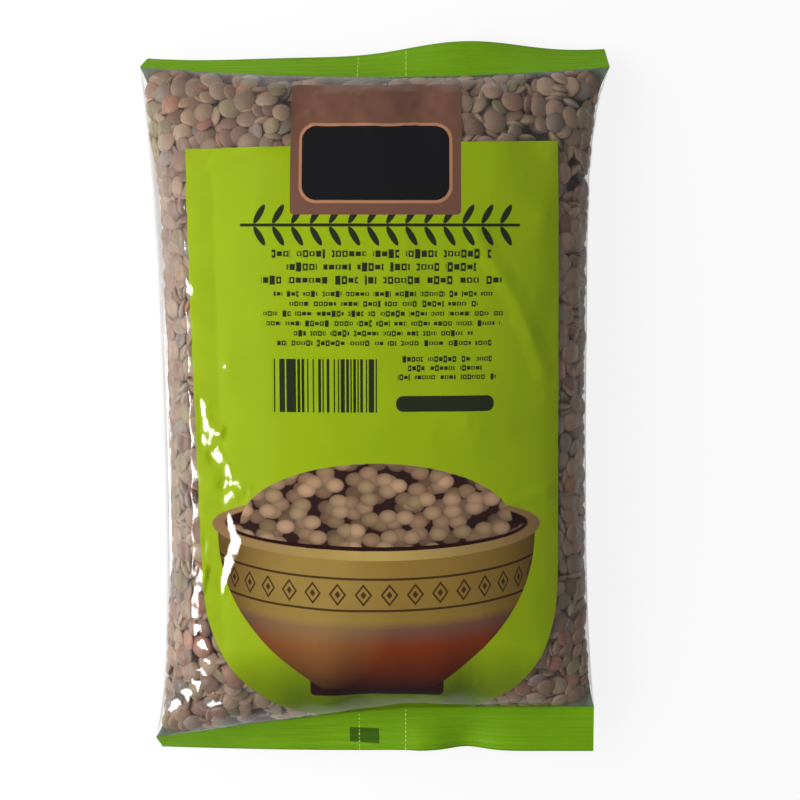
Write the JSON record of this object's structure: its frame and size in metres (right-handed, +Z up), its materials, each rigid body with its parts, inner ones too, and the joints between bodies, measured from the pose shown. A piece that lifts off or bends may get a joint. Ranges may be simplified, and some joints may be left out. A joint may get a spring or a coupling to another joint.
{
  "type": "bag of dry lentils",
  "caption": "Sealed clear film pillow bag full of dry green lentils, with a lime printed label and a flat green crimped seal at each end, lying on its back.",
  "frame": {"origin": "under the middle of the bag's box, on the surface that the bag lies on", "axes": "+X to the right as the label is read, +Y towards the head of the bag, +Z up, out of the printed side"},
  "size_m": [0.133, 0.2112, 0.0381],
  "materials": {
    "bag_film": "thin glossy clear film with a lime printed label and leaf green end seals",
    "lentils": "dry dull seed skins, tan, brown, olive and a few orange"
  },
  "bodies": {
    "root": {"lentil_bag": "bag_film"}
  },
  "joints": []
}
